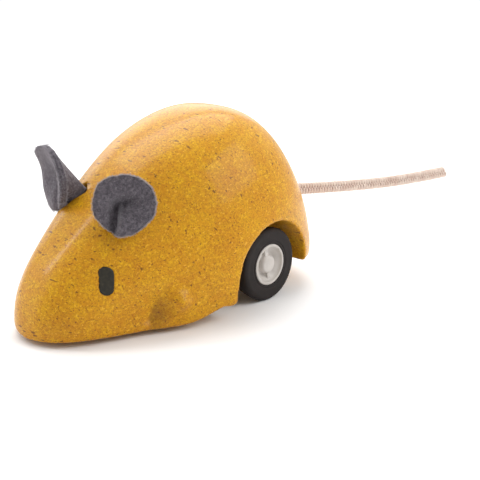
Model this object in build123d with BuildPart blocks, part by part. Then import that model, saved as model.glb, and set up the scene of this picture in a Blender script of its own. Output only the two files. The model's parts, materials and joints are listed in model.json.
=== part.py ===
from build123d import *
import os
from math import acos, copysign, cos, degrees, hypot, pi, radians, sin, sqrt, tan

os.makedirs("parts", exist_ok=True)

# A pull-back toy mouse. Millimetres, +Z up, +X towards the nose, +Y to the mouse's left.
# The origin lies on the ground under the middle of the body.

# ---------------------------------------------------------------- body
BODY_LENGTH = 88.0
UNDERSIDE_Z = 1.3  # height of the belly above the ground, at the front
HEIGHT_TERMS = (43.6, 6.8, -1.6, -1.8, -0.75, -0.55)  # sine terms of the back line, tail to nose
WIDTH_TERMS = (26.4, 3.8, 0.8, -0.15, 0.8)  # sine terms of the half width, tail to nose
SIDE_POWER = 2.7  # roundness of a cross-section at its sides
TOP_POWER = 2.15  # roundness of a cross-section over the back
EDGE_ROUND = 1.4  # rounding where the sides turn under the belly
NOSE_END_ANGLE = 0.03  # the loft stops this far from the nose's point, in radians
RUMP_END_ANGLE = 0.17  # and here at the rump, where the back line meets the skirt
STATIONS = 17
ARCH_STEPS = 12  # points over the back of each cross-section

STEP_X = 14.0  # the belly starts to rise here, going back
STEP_LENGTH = 14.0
STEP_RISE = 3.3
SKIRT_X = -6.0  # it rises again inside the wheel arches, up to the rear skirt
SKIRT_LENGTH = 20.0
SKIRT_RISE = 2.6

# ---------------------------------------------------------------- wheels
WHEEL_X = -15.6
TYRE_RADIUS = 9.7
TYRE_WIDTH = 8.0
WHEEL_FACE_Y = 22.9
HUB_RADIUS = 5.4
RIDGE_RADIUS = 6.0
RIDGE_WIDTH = 3.0
REAR_AXLE_RADIUS = 1.25
REAR_AXLE_END_Y = 21.0
HUB_SLEEVE_Y = 13.8

ARCH_X, ARCH_Z, ARCH_RADIUS = -14.7, 6.9, 14.8

FRONT_WHEEL_X = 24.5
FRONT_WHEEL_RADIUS = 5.0
FRONT_WHEEL_WIDTH = 4.0
FRONT_WHEEL_Y = 6.0
FRONT_AXLE_RADIUS = 1.0
FRONT_AXLE_END_Y = 11.0

# ---------------------------------------------------------------- spring motor
RUNNING_CLEARANCE = 0.05
MODULE = 0.5
PRESSURE = radians(25)
BACKLASH = 0.10
AXLE_TEETH = 12
TRANSFER_TEETH = 28
TRANSFER_PINION_TEETH = 12
DRUM_TEETH = 40
TRANSFER_DIRECTION = 50.0  # degrees above the +X direction, seen from the mouse's right
DRUM_DIRECTION = -8.0

CASE_REAR_X, CASE_FRONT_X = -21.6, 16.0
CASE_LOW_Z, CASE_HIGH_Z = 3.7, 27.8
CASE_HALF_WIDTH = 10.5
CASE_WALL = 1.2
CASE_CORNER = 3.0
CASE_ROOM = 0.5  # gap between the case and the wood round it
BAY_CORNER = 0.8
BEARING_END_Y = 13.5
BEARING_RADIUS = 2.9
SCREW_BOSS_RADIUS = 2.2
CASE_SCREW_RADIUS = 0.8
CASE_SCREW_INSET = 2.8

PIN_RADIUS = 1.0
ARBOR_RADIUS = 2.0
DRUM_RADIUS = 9.2
DRUM_WALL = 0.9
DRUM_GEAR_Y = 3.5
GEAR_WIDTH = 3.4
DRUM_CUP_Y = -8.2
DRUM_LID_Y = -8.9
SPRING_STRIP = 0.25
SPRING_WIDTH = 6.0
SPRING_INNER, SPRING_OUTER = 2.9, 8.0
SPRING_TURNS = 6
TRANSFER_GEAR_Y = 7.9
AXLE_PINION_Y = 9.0
AXLE_PINION_WIDTH = 5.0

LUG_THICKNESS = 2.0
FRONT_LUG_X, FRONT_LUG_Z, FRONT_LUG_HOLE_Y, FRONT_LUG_END_Y = 6.0, 6.0, 13.0, 15.4
REAR_LUG_X, REAR_LUG_Z, REAR_LUG_HOLE_Y, REAR_LUG_END_X = -24.2, 9.4, 4.0, -26.6
LUG_WIDTH = 6.2
LUG_SCREW_RADIUS = 1.1
LUG_SCREW_DEPTH = 7.0

# ---------------------------------------------------------------- front axle bracket
BRACKET_LENGTH, BRACKET_HALF_WIDTH = 13.4, 11.0
BRACKET_LOW_Z, BRACKET_THICKNESS = 1.6, 2.2
BRACKET_SCREW_SPACING = 8.6
BRACKET_SCREW_RADIUS = 1.0
BRACKET_SCREW_TOP_Z = 11.0
CHEEK_WIDTH, CHEEK_LENGTH, CHEEK_TOP_Z = 1.8, 5.0, 7.4

# ---------------------------------------------------------------- ears, eyes and tail
EAR_RADIUS = 7.8
FELT = 1.9
EAR_SLOT_LENGTH, EAR_SLOT_WIDTH, EAR_SLOT_DEPTH = 8.4, 3.6, 4.5
EAR_NECK_RISE, EAR_NECK_RADIUS = 2.4, 2.0
EAR_SLOT_POINT = (22.8, 6.1, 30.8)  # where the middle of the left slot meets the head
EAR_SLOT_RUN = (0.467, 0.670, -0.576)  # direction of the left slot along the head
EAR_SLOT_OUT = (0.63, 0.22, 0.745)  # out of the head at the left slot
LEFT_EAR_CENTRE, LEFT_EAR_FACING = (24.5, 14.0, 31.6), (0.72, 0.64, 0.22)
RIGHT_EAR_CENTRE, RIGHT_EAR_FACING = (26.2, -10.9, 35.2), (0.954, -0.291, -0.09)

EYE_X, EYE_Z = 30.4, 14.8
EYE_LENGTH, EYE_WIDTH = 6.1, 2.7
EYE_LEAN = 102.0  # degrees from +X to the eye's long direction, in side view
EYE_SEAT_Y = 10.9

TAIL_RADIUS = 2.1
TAIL_HOLE_RADIUS = 2.2
# Chosen by hand: out of the rump, then drooping and easing over to the left.
TAIL_ROUTE = [
    (-33.5, 0.0, 21.9),
    (-46.0, 0.0, 20.3),
    (-61.0, 0.6, 18.2),
    (-78.0, 1.6, 16.1),
    (-95.5, 3.0, 14.3),
    (-112.5, 4.5, 13.3),
    (-128.7, 6.0, 12.9),
]

SIDES = {"left": 1, "right": -1}

# ---------------------------------------------------------------- derived places
axle_centre = (WHEEL_X, TYRE_RADIUS)
transfer_distance = MODULE * (AXLE_TEETH + TRANSFER_TEETH) / 2
transfer_centre = (
    axle_centre[0] + transfer_distance * cos(radians(TRANSFER_DIRECTION)),
    axle_centre[1] + transfer_distance * sin(radians(TRANSFER_DIRECTION)),
)
drum_distance = MODULE * (TRANSFER_PINION_TEETH + DRUM_TEETH) / 2
drum_centre = (
    transfer_centre[0] + drum_distance * cos(radians(DRUM_DIRECTION)),
    transfer_centre[1] + drum_distance * sin(radians(DRUM_DIRECTION)),
)
case_inner_half = CASE_HALF_WIDTH - CASE_WALL
case_middle = ((CASE_REAR_X + CASE_FRONT_X) / 2, (CASE_LOW_Z + CASE_HIGH_Z) / 2)
case_size = (CASE_FRONT_X - CASE_REAR_X, CASE_HIGH_Z - CASE_LOW_Z)
case_screw_places = [
    (CASE_REAR_X + CASE_SCREW_INSET, CASE_HIGH_Z - CASE_SCREW_INSET),
    (CASE_FRONT_X - CASE_SCREW_INSET, CASE_HIGH_Z - CASE_SCREW_INSET),
    (CASE_FRONT_X - CASE_SCREW_INSET, CASE_LOW_Z + CASE_SCREW_INSET),
    (-6.3, CASE_LOW_Z + CASE_SCREW_INSET),
]


def side_plane(y):
    """The plane at this y, with X to the right and Z up, so that it faces -Y."""
    return Plane.XZ.offset(-y)


def lengthwise_plane(x, z):
    """A plane whose own x runs along an axle at (x, z), and whose own y is the radius."""
    return Plane(origin=(x, 0, z), x_dir=(0, 1, 0), z_dir=(1, 0, 0))


def cross_axis(x, z):
    return Axis((x, 0, z), (0, 1, 0))


def save(piece, name):
    piece.part.label = name
    export_step(piece.part, f"parts/{name}.step")


# ---------------------------------------------------------------- the outer form of the body
def series(terms, angle):
    return sum(term * sin((order + 1) * angle) for order, term in enumerate(terms))


def smooth_step(share):
    share = min(1.0, max(0.0, share))
    return share * share * (3 - 2 * share)


def belly_height(x):
    rise = STEP_RISE * smooth_step((STEP_X - x) / STEP_LENGTH)
    skirt = SKIRT_RISE * smooth_step((SKIRT_X - x) / SKIRT_LENGTH)
    return UNDERSIDE_Z + rise + skirt


def section_points(angle):
    """The outline of one cross-section from the belly up over the back, as (y, z) points."""
    x = -BODY_LENGTH / 2 * cos(angle)
    half_width = series(WIDTH_TERMS, angle)
    top = UNDERSIDE_Z + series(HEIGHT_TERMS, angle)
    belly = min(belly_height(x), top - 0.5)
    corner = EDGE_ROUND * min(1.0, half_width / 6, (top - belly) / 3)
    waist = belly + corner
    points = []
    for step in range(3):
        turn = -pi / 2 + step * pi / 6
        points.append((half_width - corner + corner * cos(turn), waist + corner * sin(turn)))
    for step in range(ARCH_STEPS + 1):
        turn = pi * step / ARCH_STEPS
        across = copysign(abs(cos(turn)) ** (2 / SIDE_POWER), cos(turn))
        up = waist + (top - waist) * sin(turn) ** (2 / TOP_POWER)
        points.append((half_width * across, up))
    for step in range(1, 4):
        turn = pi + step * pi / 6
        points.append((corner - half_width + corner * cos(turn), waist + corner * sin(turn)))
    return points


with BuildPart() as body_form:
    for station in range(STATIONS):
        loft_angle = pi - RUMP_END_ANGLE - NOSE_END_ANGLE
        section_angle = RUMP_END_ANGLE + loft_angle * station / (STATIONS - 1)
        with BuildSketch(Plane.YZ.offset(-BODY_LENGTH / 2 * cos(section_angle))):
            with BuildLine():
                skin = Spline(*section_points(section_angle))
                Line(skin @ 1, skin @ 0)
            make_face()
    loft()


def eye_outline(side):
    """The obround of an eye, seen along Y, drawn just inside the head's side."""
    with BuildSketch(side_plane(side * EYE_SEAT_Y)) as outline:
        with Locations((EYE_X, EYE_Z)):
            SlotOverall(EYE_LENGTH, EYE_WIDTH, rotation=EYE_LEAN)
    return outline.sketch


def slot_plane(side):
    """Where an ear's slot meets the head: own x along the slot, own z out of the head."""
    x, y, z = EAR_SLOT_POINT
    run_x, run_y, run_z = EAR_SLOT_RUN
    out_x, out_y, out_z = EAR_SLOT_OUT
    return Plane(
        origin=(x, side * y, z),
        x_dir=(run_x, side * run_y, run_z),
        z_dir=(out_x, side * out_y, out_z),
    )


lug_screw_places = [
    (x, side * y, z)
    for side in SIDES.values()
    for x, y, z in (
        (FRONT_LUG_X, FRONT_LUG_HOLE_Y, FRONT_LUG_Z),
        (REAR_LUG_X, REAR_LUG_HOLE_Y, REAR_LUG_Z),
    )
]
bracket_screw_places = [
    (FRONT_WHEEL_X + share * BRACKET_SCREW_SPACING, 0) for share in (-0.5, 0.5)
]
bracket_top_z = BRACKET_LOW_Z + BRACKET_THICKNESS
roller_slot_length = 2 * FRONT_WHEEL_RADIUS + 1.2
roller_slot_inner_y = FRONT_WHEEL_Y - FRONT_WHEEL_WIDTH / 2 - 0.6
roller_slot_outer_y = FRONT_WHEEL_Y + FRONT_WHEEL_WIDTH / 2 + 0.6

tail_start = Vector(*TAIL_ROUTE[0])
tail_heading = (Vector(*TAIL_ROUTE[1]) - tail_start).normalized()
tail_plane = Plane(origin=tail_start, z_dir=tail_heading)

# ---------------------------------------------------------------- body shell
with BuildPart() as body_shell:
    add(body_form.part)
    # wheel arches, open to the middle
    for side in SIDES.values():
        with BuildSketch(side_plane(side * CASE_HALF_WIDTH)):
            with Locations((ARCH_X, ARCH_Z)):
                Circle(ARCH_RADIUS)
        extrude(amount=30, dir=(0, side, 0), mode=Mode.SUBTRACT)
    # motor bay
    with BuildSketch(Plane.XY.offset(-1)):
        with Locations((case_middle[0], 0)):
            RectangleRounded(
                case_size[0] + 2 * CASE_ROOM, 2 * (CASE_HALF_WIDTH + CASE_ROOM), BAY_CORNER
            )
    extrude(amount=CASE_HIGH_Z + CASE_ROOM + 1, mode=Mode.SUBTRACT)
    # seats for the motor's lugs, and pilot holes for its screws
    with BuildSketch(Plane.XY.offset(-1)):
        with Locations((FRONT_LUG_X, 0)):
            Rectangle(LUG_WIDTH + 2 * CASE_ROOM, 2 * (FRONT_LUG_END_Y + CASE_ROOM))
    extrude(amount=FRONT_LUG_Z + LUG_THICKNESS + 1, mode=Mode.SUBTRACT)
    with BuildSketch(Plane.XY.offset(-1)):
        with Locations(((REAR_LUG_END_X + CASE_REAR_X) / 2, 0)):
            Rectangle(
                CASE_REAR_X - REAR_LUG_END_X + 2 * CASE_ROOM,
                2 * (REAR_LUG_HOLE_Y + LUG_WIDTH / 2 + CASE_ROOM),
            )
    extrude(amount=REAR_LUG_Z + LUG_THICKNESS + 1, mode=Mode.SUBTRACT)
    for x, y, z in lug_screw_places:
        with BuildSketch(Plane.XY.offset(z + LUG_THICKNESS - 0.5)):
            with Locations((x, y)):
                Circle(LUG_SCREW_RADIUS)
        extrude(amount=LUG_SCREW_DEPTH + 0.7, mode=Mode.SUBTRACT)
    # front axle bay: a seat for the bracket, a pocket on each side, and a notch for the axle
    with BuildSketch(Plane.XY.offset(-1)):
        with Locations((FRONT_WHEEL_X, 0)):
            Rectangle(BRACKET_LENGTH + 0.4, 2 * BRACKET_HALF_WIDTH + 0.4)
    extrude(amount=bracket_top_z + 1, mode=Mode.SUBTRACT)
    with BuildSketch(Plane.XY.offset(bracket_top_z - 0.5)):
        for side in SIDES.values():
            with Locations((FRONT_WHEEL_X, side * (roller_slot_inner_y + BRACKET_HALF_WIDTH + 0.2) / 2)):
                Rectangle(roller_slot_length, BRACKET_HALF_WIDTH + 0.2 - roller_slot_inner_y)
    extrude(amount=2 * FRONT_WHEEL_RADIUS + 1.3 - bracket_top_z, mode=Mode.SUBTRACT)
    with BuildSketch(Plane.XY.offset(bracket_top_z - 0.5)):
        with Locations((FRONT_WHEEL_X, 0)):
            Rectangle(3 * FRONT_AXLE_RADIUS, 2 * roller_slot_inner_y + 1)
    extrude(amount=FRONT_WHEEL_RADIUS + 2.3 - bracket_top_z, mode=Mode.SUBTRACT)
    with BuildSketch(Plane.XY.offset(bracket_top_z - 0.5)):
        with Locations(*bracket_screw_places):
            Circle(BRACKET_SCREW_RADIUS)
    extrude(amount=BRACKET_SCREW_TOP_Z + 0.7 - bracket_top_z, mode=Mode.SUBTRACT)
    # ear slots, eye pockets and the tail's hole
    for side in SIDES.values():
        with BuildSketch(slot_plane(side).offset(-EAR_SLOT_DEPTH)):
            SlotOverall(EAR_SLOT_LENGTH, EAR_SLOT_WIDTH)
        extrude(amount=EAR_SLOT_DEPTH + 6, mode=Mode.SUBTRACT)
        extrude(eye_outline(side), amount=20, dir=(0, side, 0), mode=Mode.SUBTRACT)
    with BuildSketch(tail_plane):
        Circle(TAIL_HOLE_RADIUS)
    extrude(amount=20, mode=Mode.SUBTRACT)
save(body_shell, "body_shell")

# ---------------------------------------------------------------- eyes, flush in the head
for name, side in SIDES.items():
    with BuildPart() as eye:
        add(body_form.part)
        extrude(eye_outline(side), amount=20, dir=(0, side, 0), mode=Mode.INTERSECT)
    save(eye, f"{name}_eye")

# ---------------------------------------------------------------- felt ears
stalk_radii = ((EAR_SLOT_LENGTH - 0.6) / 2, (EAR_SLOT_WIDTH - 0.4) / 2)
for name, side, centre, facing in (
    ("left", 1, LEFT_EAR_CENTRE, LEFT_EAR_FACING),
    ("right", -1, RIGHT_EAR_CENTRE, RIGHT_EAR_FACING),
):
    flap = Plane(origin=centre, z_dir=facing)
    slot = slot_plane(side)
    neck_point = slot.origin + slot.z_dir * EAR_NECK_RISE
    neck = Plane(origin=neck_point, z_dir=flap.origin - neck_point)
    with BuildPart() as ear:
        # the stalk, where the felt is folded double and pushed into its slot
        with BuildSketch(slot.offset(0.2 - EAR_SLOT_DEPTH)):
            Ellipse(*stalk_radii)
        extrude(amount=EAR_SLOT_DEPTH + EAR_NECK_RISE - 0.4)
        # the cup, opening from the stalk to the flap
        with BuildSketch(neck):
            Circle(EAR_NECK_RADIUS)
        with BuildSketch(flap):
            Circle(EAR_RADIUS * 0.66)
        loft()
        with BuildSketch(flap.offset(-FELT / 2)):
            Circle(EAR_RADIUS)
        extrude(amount=FELT)
    save(ear, f"{name}_ear")

# ---------------------------------------------------------------- tail cord
tail_runs = [(Vector(*b) - Vector(*a)) for a, b in zip(TAIL_ROUTE, TAIL_ROUTE[1:])]
tail_radii = [
    0.45 * min(before.length, after.length) / tan(radians(before.get_angle(after)) / 2)
    for before, after in zip(tail_runs, tail_runs[1:])
]
print("tail bend radii", [round(radius) for radius in tail_radii])
with BuildPart() as tail_cord:
    with BuildLine():
        tail_line = FilletPolyline(*TAIL_ROUTE, radius=tail_radii)
    with BuildSketch(tail_plane):
        Circle(TAIL_RADIUS)
    sweep(path=tail_line)
tail_length = sum(edge.length for edge in tail_line.edges())
print("tail length", round(tail_length, 2), "volume", round(tail_cord.part.volume, 1),
      "section times length", round(pi * TAIL_RADIUS**2 * tail_length, 1))
save(tail_cord, "tail_cord")

# ---------------------------------------------------------------- rear wheels
with BuildPart() as rear_axle:
    with BuildSketch(side_plane(REAR_AXLE_END_Y)):
        with Locations(axle_centre):
            Circle(REAR_AXLE_RADIUS)
    extrude(amount=2 * REAR_AXLE_END_Y)
save(rear_axle, "rear_axle")

tyre_inner_y = WHEEL_FACE_Y - TYRE_WIDTH
ridge_inner_y = WHEEL_FACE_Y - TYRE_WIDTH / 2 - RIDGE_WIDTH / 2
ridge_outer_y = ridge_inner_y + RIDGE_WIDTH
hub_face_y = WHEEL_FACE_Y - 0.1
lip_radius = HUB_RADIUS - 0.75
dish_y = hub_face_y - 2.0
boss_radius = 2.1
boss_y = hub_face_y - 0.5

for name, side in SIDES.items():
    with BuildPart() as tyre:
        with BuildSketch(lengthwise_plane(*axle_centre)):
            with BuildLine():
                Polyline(
                    (side * tyre_inner_y, HUB_RADIUS),
                    (side * ridge_inner_y, HUB_RADIUS),
                    (side * ridge_inner_y, RIDGE_RADIUS),
                    (side * ridge_outer_y, RIDGE_RADIUS),
                    (side * ridge_outer_y, HUB_RADIUS),
                    (side * WHEEL_FACE_Y, HUB_RADIUS),
                    (side * WHEEL_FACE_Y, TYRE_RADIUS),
                    (side * tyre_inner_y, TYRE_RADIUS),
                    close=True,
                )
            make_face()
        revolve(axis=cross_axis(*axle_centre))
        shoulders = tyre.edges().filter_by(GeomType.CIRCLE).group_by(SortBy.RADIUS)[-1]
        fillet(shoulders, 1.0)
    save(tyre, f"{name}_rear_tyre")

    with BuildPart() as hub:
        with BuildSketch(lengthwise_plane(*axle_centre)):
            with BuildLine():
                Polyline(
                    (side * REAR_AXLE_END_Y, 0),
                    (side * REAR_AXLE_END_Y, REAR_AXLE_RADIUS),
                    (side * HUB_SLEEVE_Y, REAR_AXLE_RADIUS),
                    (side * HUB_SLEEVE_Y, 2.4),
                    (side * tyre_inner_y, 2.4),
                    (side * tyre_inner_y, HUB_RADIUS),
                    (side * ridge_inner_y, HUB_RADIUS),
                    (side * ridge_inner_y, RIDGE_RADIUS),
                    (side * ridge_outer_y, RIDGE_RADIUS),
                    (side * ridge_outer_y, HUB_RADIUS),
                    (side * hub_face_y, HUB_RADIUS),
                    (side * hub_face_y, lip_radius),
                    (side * (hub_face_y - 0.5), lip_radius - 0.3),
                    (side * dish_y, boss_radius + 1.2),
                    (side * dish_y, boss_radius + 0.2),
                    (side * (boss_y - 0.4), boss_radius),
                    (side * boss_y, boss_radius - 0.5),
                    (side * boss_y, 0),
                    close=True,
                )
            make_face()
        revolve(axis=cross_axis(*axle_centre))
        # two ribs across the dish, above and below the boss
        with BuildSketch(side_plane(side * (dish_y - 0.3))):
            with Locations(axle_centre):
                with PolarLocations(boss_radius + 1.0, 2, start_angle=90):
                    Rectangle(2.6, 1.1)
        extrude(amount=1.4, dir=(0, side, 0))
    save(hub, f"{name}_rear_hub")


# ---------------------------------------------------------------- gears
def gear_outline(teeth, first_tooth):
    """A closed involute outline about the origin, with a tooth at first_tooth degrees."""
    pitch_radius = MODULE * teeth / 2
    base_radius = pitch_radius * cos(PRESSURE)
    tip_radius = pitch_radius + MODULE
    root_radius = pitch_radius - 1.25 * MODULE
    flank_start = max(base_radius, root_radius)
    rolled = tan(PRESSURE) - PRESSURE
    half_tooth = pi / (2 * teeth) - BACKLASH / (4 * pitch_radius) + rolled

    def flank_point(radius, tooth_angle, hand):
        unwound = acos(min(1.0, base_radius / radius))
        turn = tooth_angle + hand * (half_tooth - (tan(unwound) - unwound))
        return (radius * cos(turn), radius * sin(turn))

    for tooth in range(teeth):
        tooth_angle = radians(first_tooth) + 2 * pi * tooth / teeth
        next_angle = tooth_angle + 2 * pi / teeth
        radii = [flank_start + (tip_radius - flank_start) * step / 3 for step in range(4)]
        rising = [flank_point(radius, tooth_angle, -1) for radius in radii]
        falling = [flank_point(radius, tooth_angle, 1) for radius in reversed(radii)]
        foot_angle = tooth_angle + half_tooth
        next_foot_angle = next_angle - half_tooth
        valley_angle = (tooth_angle + next_angle) / 2
        foot = (root_radius * cos(foot_angle), root_radius * sin(foot_angle))
        next_foot = (root_radius * cos(next_foot_angle), root_radius * sin(next_foot_angle))
        next_rise = flank_point(flank_start, next_angle, -1)
        Spline(*rising)
        tip = (tip_radius * cos(tooth_angle), tip_radius * sin(tooth_angle))
        ThreePointArc(rising[-1], tip, falling[0])
        Spline(*falling)
        valley = (root_radius * cos(valley_angle), root_radius * sin(valley_angle))
        if flank_start - root_radius > 1e-6:
            Line(falling[-1], foot)
            ThreePointArc(foot, valley, next_foot)
            Line(next_foot, next_rise)
        else:
            ThreePointArc(falling[-1], valley, next_rise)


def meshed_tooth(teeth, tooth, follower_teeth, direction):
    """The follower's tooth angle that puts a gap opposite the first gear's tooth."""
    pitch_angle = 360 / teeth
    follower_pitch = 360 / follower_teeth
    return direction + 180 - follower_pitch * (0.5 - (direction - tooth) / pitch_angle)


axle_tooth = 0.0
transfer_tooth = meshed_tooth(AXLE_TEETH, axle_tooth, TRANSFER_TEETH, TRANSFER_DIRECTION)
transfer_pinion_tooth = 0.0
drum_tooth = meshed_tooth(TRANSFER_PINION_TEETH, transfer_pinion_tooth, DRUM_TEETH, DRUM_DIRECTION)


def gear_sketch(centre, y, teeth, first_tooth):
    with BuildSketch(side_plane(y)) as outline:
        with Locations(centre):
            with BuildSketch(mode=Mode.PRIVATE) as wheel:
                with BuildLine():
                    gear_outline(teeth, first_tooth)
                make_face()
            add(wheel.sketch)
    return outline.sketch


with BuildPart() as axle_pinion:
    extrude(gear_sketch(axle_centre, AXLE_PINION_Y, AXLE_TEETH, axle_tooth), amount=AXLE_PINION_WIDTH)
    with BuildSketch(side_plane(AXLE_PINION_Y)):
        with Locations(axle_centre):
            Circle(REAR_AXLE_RADIUS)
    extrude(amount=AXLE_PINION_WIDTH, mode=Mode.SUBTRACT)
save(axle_pinion, "axle_pinion")

transfer_end_y = DRUM_GEAR_Y - GEAR_WIDTH - 0.4
with BuildPart() as transfer_gear:
    extrude(
        gear_sketch(transfer_centre, TRANSFER_GEAR_Y, TRANSFER_TEETH, transfer_tooth), amount=GEAR_WIDTH
    )
    extrude(
        gear_sketch(
            transfer_centre, TRANSFER_GEAR_Y - GEAR_WIDTH, TRANSFER_PINION_TEETH, transfer_pinion_tooth
        ),
        amount=TRANSFER_GEAR_Y - GEAR_WIDTH - transfer_end_y,
    )
    with BuildSketch(side_plane(TRANSFER_GEAR_Y)):
        with Locations(transfer_centre):
            Circle(PIN_RADIUS + RUNNING_CLEARANCE)
    extrude(amount=TRANSFER_GEAR_Y - transfer_end_y, mode=Mode.SUBTRACT)
save(transfer_gear, "transfer_gear")

pin_end_y = case_inner_half + 0.6
with BuildPart() as transfer_gear_pin:
    with BuildSketch(side_plane(pin_end_y)):
        with Locations(transfer_centre):
            Circle(PIN_RADIUS)
    extrude(amount=2 * pin_end_y)
save(transfer_gear_pin, "transfer_gear_pin")

# ---------------------------------------------------------------- spring drum
with BuildPart() as spring_drum:
    extrude(gear_sketch(drum_centre, DRUM_GEAR_Y, DRUM_TEETH, drum_tooth), amount=GEAR_WIDTH)
    with BuildSketch(side_plane(DRUM_GEAR_Y - GEAR_WIDTH)):
        with Locations(drum_centre):
            Circle(DRUM_RADIUS)
            Circle(DRUM_RADIUS - DRUM_WALL, mode=Mode.SUBTRACT)
    extrude(amount=DRUM_GEAR_Y - GEAR_WIDTH - DRUM_CUP_Y)
    with BuildSketch(side_plane(DRUM_GEAR_Y)):
        with Locations(drum_centre):
            Circle(ARBOR_RADIUS + RUNNING_CLEARANCE)
    extrude(amount=GEAR_WIDTH, mode=Mode.SUBTRACT)
save(spring_drum, "spring_drum")

with BuildPart() as spring_drum_lid:
    with BuildSketch(side_plane(DRUM_CUP_Y)):
        with Locations(drum_centre):
            Circle(DRUM_RADIUS)
            Circle(ARBOR_RADIUS + RUNNING_CLEARANCE, mode=Mode.SUBTRACT)
    extrude(amount=DRUM_CUP_Y - DRUM_LID_Y)
save(spring_drum_lid, "spring_drum_lid")

with BuildPart() as spring_arbor:
    with BuildSketch(side_plane(CASE_HALF_WIDTH)):
        with Locations(drum_centre):
            Circle(ARBOR_RADIUS)
    extrude(amount=2 * CASE_HALF_WIDTH)
save(spring_arbor, "spring_arbor")


def spiral_points(offset):
    """Points along a flat spiral, from the arbor out to the drum's wall."""
    count = SPRING_TURNS * 12
    points = []
    for step in range(count + 1):
        radius = SPRING_INNER + (SPRING_OUTER - SPRING_INNER) * step / count + offset
        turn = 2 * pi * SPRING_TURNS * step / count
        points.append((radius * cos(turn), radius * sin(turn)))
    return points


with BuildPart() as mainspring:
    with BuildSketch(side_plane(DRUM_CUP_Y / 2 + SPRING_WIDTH / 2)):
        with Locations(drum_centre):
            with BuildSketch(mode=Mode.PRIVATE) as strip:
                with BuildLine():
                    inside = Spline(*spiral_points(0))
                    outside = Spline(*spiral_points(SPRING_STRIP))
                    Line(inside @ 0, outside @ 0)
                    Line(inside @ 1, outside @ 1)
                make_face()
            add(strip.sketch)
    extrude(amount=SPRING_WIDTH)
save(mainspring, "mainspring")

# ---------------------------------------------------------------- motor case
screw_head_radius, screw_head_height = 1.5, 1.0
for name, side in SIDES.items():
    outward = (0, side, 0)
    with BuildPart() as case_half:
        with BuildSketch(side_plane(0)):
            with Locations(case_middle):
                RectangleRounded(*case_size, CASE_CORNER)
        extrude(amount=CASE_HALF_WIDTH, dir=outward)
        with BuildSketch(side_plane(0)):
            with Locations(case_middle):
                RectangleRounded(
                    case_size[0] - 2 * CASE_WALL, case_size[1] - 2 * CASE_WALL, CASE_CORNER - CASE_WALL
                )
        extrude(amount=case_inner_half, dir=outward, mode=Mode.SUBTRACT)
        # screw posts, and bosses round the axle, the pin and the arbor
        with BuildSketch(side_plane(0)):
            with Locations(*case_screw_places):
                Circle(SCREW_BOSS_RADIUS)
        extrude(amount=case_inner_half, dir=outward)
        with BuildSketch(side_plane(side * case_inner_half)):
            with Locations(axle_centre):
                Circle(BEARING_RADIUS)
        extrude(amount=BEARING_END_Y - case_inner_half, dir=outward)
        pin_boss_y = TRANSFER_GEAR_Y + 0.3 if side > 0 else 0.4 - transfer_end_y
        arbor_boss_y = DRUM_GEAR_Y + 0.3 if side > 0 else 0.2 - DRUM_LID_Y
        for centre, radius, boss_y_start in (
            (transfer_centre, 2.0, pin_boss_y),
            (drum_centre, 3.2, arbor_boss_y),
        ):
            with BuildSketch(side_plane(side * boss_y_start)):
                with Locations(centre):
                    Circle(radius)
            extrude(amount=case_inner_half - boss_y_start, dir=outward)
        # mounting lugs
        with BuildSketch(Plane.XY.offset(FRONT_LUG_Z)):
            with Locations((FRONT_LUG_X, side * (CASE_HALF_WIDTH + FRONT_LUG_END_Y) / 2)):
                Rectangle(LUG_WIDTH, FRONT_LUG_END_Y - CASE_HALF_WIDTH + 0.4)
        extrude(amount=LUG_THICKNESS)
        with BuildSketch(Plane.XY.offset(REAR_LUG_Z)):
            with Locations(((REAR_LUG_END_X + CASE_REAR_X) / 2, side * REAR_LUG_HOLE_Y)):
                Rectangle(CASE_REAR_X - REAR_LUG_END_X + 0.4, LUG_WIDTH)
        extrude(amount=LUG_THICKNESS)
        # holes
        with BuildSketch(side_plane(0)):
            with Locations(axle_centre):
                Circle(REAR_AXLE_RADIUS + RUNNING_CLEARANCE)
            with Locations(drum_centre):
                Circle(ARBOR_RADIUS)
            with Locations(*case_screw_places):
                Circle(CASE_SCREW_RADIUS)
        extrude(amount=30, dir=outward, mode=Mode.SUBTRACT)
        with BuildSketch(side_plane(0)):
            with Locations(transfer_centre):
                Circle(PIN_RADIUS)
        extrude(amount=pin_end_y, dir=outward, mode=Mode.SUBTRACT)
        if side > 0:
            with BuildSketch(side_plane(CASE_HALF_WIDTH)):
                with Locations(*case_screw_places):
                    Circle(screw_head_radius + 0.1)
            extrude(amount=screw_head_height, mode=Mode.SUBTRACT)
        with BuildSketch(Plane.XY):
            with Locations(
                (FRONT_LUG_X, side * FRONT_LUG_HOLE_Y),
                (REAR_LUG_X, side * REAR_LUG_HOLE_Y),
            ):
                Circle(LUG_SCREW_RADIUS)
        extrude(amount=REAR_LUG_Z + LUG_THICKNESS + 1, mode=Mode.SUBTRACT)
    save(case_half, f"motor_case_{name}")


# ---------------------------------------------------------------- screws
def driver_cross(size, plane):
    """The cross-shaped driver recess of a screw head, as a sketch to cut with."""
    with BuildSketch(plane) as cross:
        Rectangle(size, size / 4)
        Rectangle(size / 4, size)
    return cross.sketch


case_screw_tip_y = -7.0
with BuildPart() as motor_case_screws:
    for x, z in case_screw_places:
        with BuildSketch(side_plane(CASE_HALF_WIDTH)):
            with Locations((x, z)):
                Circle(screw_head_radius)
        extrude(amount=screw_head_height)
        with BuildSketch(side_plane(CASE_HALF_WIDTH - screw_head_height)):
            with Locations((x, z)):
                Circle(CASE_SCREW_RADIUS)
        extrude(amount=CASE_HALF_WIDTH - screw_head_height - case_screw_tip_y)
        head_plane = Plane(origin=(x, CASE_HALF_WIDTH, z), x_dir=(1, 0, 0), z_dir=(0, 1, 0))
        extrude(driver_cross(1.6, head_plane), amount=0.6, dir=(0, -1, 0), mode=Mode.SUBTRACT)
save(motor_case_screws, "motor_case_screws")

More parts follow.
